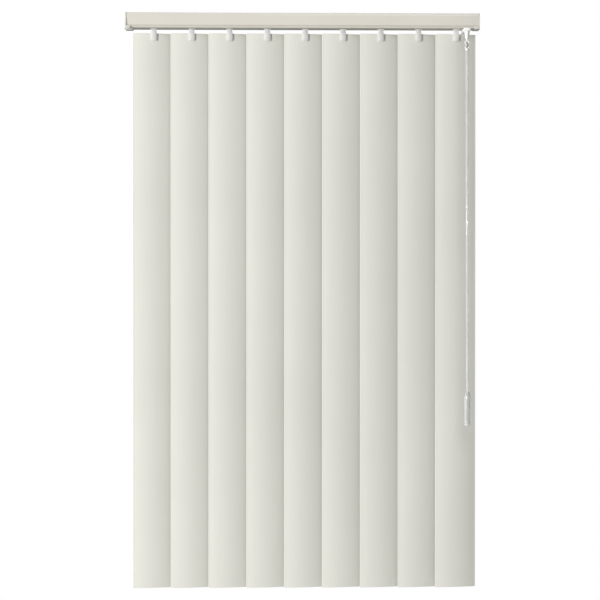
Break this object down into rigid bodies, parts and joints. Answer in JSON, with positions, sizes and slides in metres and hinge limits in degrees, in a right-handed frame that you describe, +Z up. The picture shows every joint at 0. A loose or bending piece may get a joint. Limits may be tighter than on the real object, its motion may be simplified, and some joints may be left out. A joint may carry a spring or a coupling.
{
  "type": "vertical blind",
  "caption": "Vertical blind: channel headrail with capped ends, rigid cambered vanes hung on geared stems, and a clear wand that tilts and draws them.",
  "frame": {"origin": "middle of the headrail's flat top face", "axes": "+X along the headrail towards the wand's end, +Y from the room towards the window, +Z up"},
  "size_m": [0.7454, 0.0819, 1.2045],
  "materials": {
    "painted_rail": "satin warm ivory paint on extruded aluminium",
    "vane_pvc": "satin off-white PVC, faintly grained along its length",
    "white_plastic": "satin white moulded plastic",
    "cap_plastic": "satin warm grey moulded plastic",
    "clip_plastic": "milky translucent moulded plastic",
    "hook_plastic": "glossy milky moulded plastic",
    "grey_plastic": "moulded self-lubricating plastic",
    "clear_plastic": "clear polished acrylic",
    "rod_aluminium": "plain drawn aluminium",
    "strip_steel": "thin spring strip",
    "hook_steel": "plain bent steel wire"
  },
  "bodies": {
    "rail": {"headrail": "painted_rail", "end_cap_left": "cap_plastic", "end_cap_right": "cap_plastic", "carrier_1": "white_plastic", "spacer_1": "strip_steel"},
    "tilt_rod": {"tilt_rod": "rod_aluminium"},
    "carrier_2": {"carrier_2": "white_plastic", "spacer_2": "strip_steel"},
    "carrier_3": {"carrier_3": "white_plastic", "spacer_3": "strip_steel"},
    "carrier_4": {"carrier_4": "white_plastic", "spacer_4": "strip_steel"},
    "carrier_5": {"carrier_5": "white_plastic", "spacer_5": "strip_steel"},
    "carrier_6": {"carrier_6": "white_plastic", "spacer_6": "strip_steel"},
    "carrier_7": {"carrier_7": "white_plastic", "spacer_7": "strip_steel"},
    "carrier_8": {"carrier_8": "white_plastic", "spacer_8": "strip_steel"},
    "lead_carrier": {"carrier_9": "white_plastic", "wand_carrier": "white_plastic", "wand_arm": "clear_plastic", "arm_cover": "clear_plastic"},
    "worm_1": {"worm_1": "grey_plastic"},
    "worm_2": {"worm_2": "grey_plastic"},
    "worm_3": {"worm_3": "grey_plastic"},
    "worm_4": {"worm_4": "grey_plastic"},
    "worm_5": {"worm_5": "grey_plastic"},
    "worm_6": {"worm_6": "grey_plastic"},
    "worm_7": {"worm_7": "grey_plastic"},
    "worm_8": {"worm_8": "grey_plastic"},
    "worm_9": {"worm_9": "grey_plastic"},
    "vane_1": {"stem_1": "clip_plastic", "vane_1": "vane_pvc"},
    "vane_2": {"stem_2": "clip_plastic", "vane_2": "vane_pvc"},
    "vane_3": {"stem_3": "clip_plastic", "vane_3": "vane_pvc"},
    "vane_4": {"stem_4": "clip_plastic", "vane_4": "vane_pvc"},
    "vane_5": {"stem_5": "clip_plastic", "vane_5": "vane_pvc"},
    "vane_6": {"stem_6": "clip_plastic", "vane_6": "vane_pvc"},
    "vane_7": {"stem_7": "clip_plastic", "vane_7": "vane_pvc"},
    "vane_8": {"stem_8": "clip_plastic", "vane_8": "vane_pvc"},
    "vane_9": {"stem_9": "clip_plastic", "vane_9": "vane_pvc"},
    "drive_sleeve": {"drive_sleeve": "grey_plastic"},
    "drive_stem": {"drive_stem": "grey_plastic"},
    "cross_shaft": {"cross_shaft": "grey_plastic"},
    "spindle": {"spindle": "hook_plastic"},
    "wand_link": {"wand_link": "hook_steel"},
    "wand": {"wand_head": "clear_plastic", "wand_rod": "clear_plastic", "wand_grip": "clear_plastic"}
  },
  "joints": [
    {"name": "draw", "type": "slide", "parent": "rail", "child": "lead_carrier", "axis": [-1, 0, 0], "range_m": [0, 0.4912]},
    {"name": "carrier_2_slide", "type": "slide", "parent": "rail", "child": "carrier_2", "axis": [-1, 0, 0], "range_m": [0, 0.0614]},
    {"name": "carrier_3_slide", "type": "slide", "parent": "rail", "child": "carrier_3", "axis": [-1, 0, 0], "range_m": [0, 0.1228]},
    {"name": "carrier_4_slide", "type": "slide", "parent": "rail", "child": "carrier_4", "axis": [-1, 0, 0], "range_m": [0, 0.1842]},
    {"name": "carrier_5_slide", "type": "slide", "parent": "rail", "child": "carrier_5", "axis": [-1, 0, 0], "range_m": [0, 0.2456]},
    {"name": "carrier_6_slide", "type": "slide", "parent": "rail", "child": "carrier_6", "axis": [-1, 0, 0], "range_m": [0, 0.307]},
    {"name": "carrier_7_slide", "type": "slide", "parent": "rail", "child": "carrier_7", "axis": [-1, 0, 0], "range_m": [0, 0.3684]},
    {"name": "carrier_8_slide", "type": "slide", "parent": "rail", "child": "carrier_8", "axis": [-1, 0, 0], "range_m": [0, 0.4298]},
    {"name": "tilt", "type": "hinge", "parent": "rail", "child": "vane_1", "pos_m": [-0.3116, 0, 0], "axis": [0, 0, 1], "range_deg": [0, 152]},
    {"name": "vane_2_tilt", "type": "hinge", "parent": "carrier_2", "child": "vane_2", "pos_m": [-0.2322, 0, 0], "axis": [0, 0, 1], "range_deg": [0, 152]},
    {"name": "vane_3_tilt", "type": "hinge", "parent": "carrier_3", "child": "vane_3", "pos_m": [-0.1528, 0, 0], "axis": [0, 0, 1], "range_deg": [0, 152]},
    {"name": "vane_4_tilt", "type": "hinge", "parent": "carrier_4", "child": "vane_4", "pos_m": [-0.0734, 0, 0], "axis": [0, 0, 1], "range_deg": [0, 152]},
    {"name": "vane_5_tilt", "type": "hinge", "parent": "carrier_5", "child": "vane_5", "pos_m": [0.006, 0, 0], "axis": [0, 0, 1], "range_deg": [0, 152]},
    {"name": "vane_6_tilt", "type": "hinge", "parent": "carrier_6", "child": "vane_6", "pos_m": [0.0854, 0, 0], "axis": [0, 0, 1], "range_deg": [0, 152]},
    {"name": "vane_7_tilt", "type": "hinge", "parent": "carrier_7", "child": "vane_7", "pos_m": [0.1648, 0, 0], "axis": [0, 0, 1], "range_deg": [0, 152]},
    {"name": "vane_8_tilt", "type": "hinge", "parent": "carrier_8", "child": "vane_8", "pos_m": [0.2442, 0, 0], "axis": [0, 0, 1], "range_deg": [0, 152]},
    {"name": "vane_9_tilt", "type": "hinge", "parent": "lead_carrier", "child": "vane_9", "pos_m": [0.3236, 0, 0], "axis": [0, 0, 1], "range_deg": [0, 152]},
    {"name": "rod_spin", "type": "hinge", "parent": "rail", "child": "tilt_rod", "pos_m": [0, 0.00915, -0.0155], "axis": [1, 0, 0], "range_deg": [0, 722]},
    {"name": "worm_1_spin", "type": "hinge", "parent": "rail", "child": "worm_1", "pos_m": [-0.3116, 0.00915, -0.0155], "axis": [1, 0, 0], "range_deg": [0, 722]},
    {"name": "worm_2_spin", "type": "hinge", "parent": "carrier_2", "child": "worm_2", "pos_m": [-0.2322, 0.00915, -0.0155], "axis": [1, 0, 0], "range_deg": [0, 722]},
    {"name": "worm_3_spin", "type": "hinge", "parent": "carrier_3", "child": "worm_3", "pos_m": [-0.1528, 0.00915, -0.0155], "axis": [1, 0, 0], "range_deg": [0, 722]},
    {"name": "worm_4_spin", "type": "hinge", "parent": "carrier_4", "child": "worm_4", "pos_m": [-0.0734, 0.00915, -0.0155], "axis": [1, 0, 0], "range_deg": [0, 722]},
    {"name": "worm_5_spin", "type": "hinge", "parent": "carrier_5", "child": "worm_5", "pos_m": [0.006, 0.00915, -0.0155], "axis": [1, 0, 0], "range_deg": [0, 722]},
    {"name": "worm_6_spin", "type": "hinge", "parent": "carrier_6", "child": "worm_6", "pos_m": [0.0854, 0.00915, -0.0155], "axis": [1, 0, 0], "range_deg": [0, 722]},
    {"name": "worm_7_spin", "type": "hinge", "parent": "carrier_7", "child": "worm_7", "pos_m": [0.1648, 0.00915, -0.0155], "axis": [1, 0, 0], "range_deg": [0, 722]},
    {"name": "worm_8_spin", "type": "hinge", "parent": "carrier_8", "child": "worm_8", "pos_m": [0.2442, 0.00915, -0.0155], "axis": [1, 0, 0], "range_deg": [0, 722]},
    {"name": "worm_9_spin", "type": "hinge", "parent": "lead_carrier", "child": "worm_9", "pos_m": [0.3236, 0.00915, -0.0155], "axis": [1, 0, 0], "range_deg": [0, 722]},
    {"name": "drive_sleeve_spin", "type": "hinge", "parent": "lead_carrier", "child": "drive_sleeve", "pos_m": [0.3418, 0.00915, -0.0155], "axis": [1, 0, 0], "range_deg": [0, 722]},
    {"name": "drive_stem_spin", "type": "hinge", "parent": "lead_carrier", "child": "drive_stem", "pos_m": [0.3418, 0, -0.02], "axis": [0, 0, 1], "range_deg": [0, 722]},
    {"name": "cross_shaft_spin", "type": "hinge", "parent": "lead_carrier", "child": "cross_shaft", "pos_m": [0.3418, -0.026, -0.03795], "axis": [0, 1, 0], "range_deg": [0, 722]},
    {"name": "wand_twist", "type": "hinge", "parent": "lead_carrier", "child": "spindle", "pos_m": [0.3418, -0.052, -0.045], "axis": [0, 0, 1], "range_deg": [0, 722]},
    {"name": "wand_swing_forward", "type": "hinge", "parent": "spindle", "child": "wand_link", "pos_m": [0.3418, -0.052, -0.0683], "axis": [-1, 0, 0], "range_deg": [0, 60]},
    {"name": "wand_swing_sideways", "type": "hinge", "parent": "wand_link", "child": "wand", "pos_m": [0.3418, -0.052, -0.07315], "axis": [0, 1, 0], "range_deg": [-40, 40]}
  ],
  "couplings": [
    {"joint": "carrier_2_slide", "follows": "draw", "ratio": 0.125},
    {"joint": "carrier_3_slide", "follows": "draw", "ratio": 0.25},
    {"joint": "carrier_4_slide", "follows": "draw", "ratio": 0.375},
    {"joint": "carrier_5_slide", "follows": "draw", "ratio": 0.5},
    {"joint": "carrier_6_slide", "follows": "draw", "ratio": 0.625},
    {"joint": "carrier_7_slide", "follows": "draw", "ratio": 0.75},
    {"joint": "carrier_8_slide", "follows": "draw", "ratio": 0.875},
    {"joint": "vane_2_tilt", "follows": "tilt", "ratio": 1},
    {"joint": "vane_3_tilt", "follows": "tilt", "ratio": 1},
    {"joint": "vane_4_tilt", "follows": "tilt", "ratio": 1},
    {"joint": "vane_5_tilt", "follows": "tilt", "ratio": 1},
    {"joint": "vane_6_tilt", "follows": "tilt", "ratio": 1},
    {"joint": "vane_7_tilt", "follows": "tilt", "ratio": 1},
    {"joint": "vane_8_tilt", "follows": "tilt", "ratio": 1},
    {"joint": "vane_9_tilt", "follows": "tilt", "ratio": 1},
    {"joint": "rod_spin", "follows": "tilt", "ratio": 4.75},
    {"joint": "worm_1_spin", "follows": "tilt", "ratio": 4.75},
    {"joint": "worm_2_spin", "follows": "tilt", "ratio": 4.75},
    {"joint": "worm_3_spin", "follows": "tilt", "ratio": 4.75},
    {"joint": "worm_4_spin", "follows": "tilt", "ratio": 4.75},
    {"joint": "worm_5_spin", "follows": "tilt", "ratio": 4.75},
    {"joint": "worm_6_spin", "follows": "tilt", "ratio": 4.75},
    {"joint": "worm_7_spin", "follows": "tilt", "ratio": 4.75},
    {"joint": "worm_8_spin", "follows": "tilt", "ratio": 4.75},
    {"joint": "worm_9_spin", "follows": "tilt", "ratio": 4.75},
    {"joint": "drive_sleeve_spin", "follows": "tilt", "ratio": 4.75},
    {"joint": "drive_stem_spin", "follows": "tilt", "ratio": 4.75},
    {"joint": "cross_shaft_spin", "follows": "tilt", "ratio": 4.75},
    {"joint": "wand_twist", "follows": "tilt", "ratio": 4.75}
  ]
}
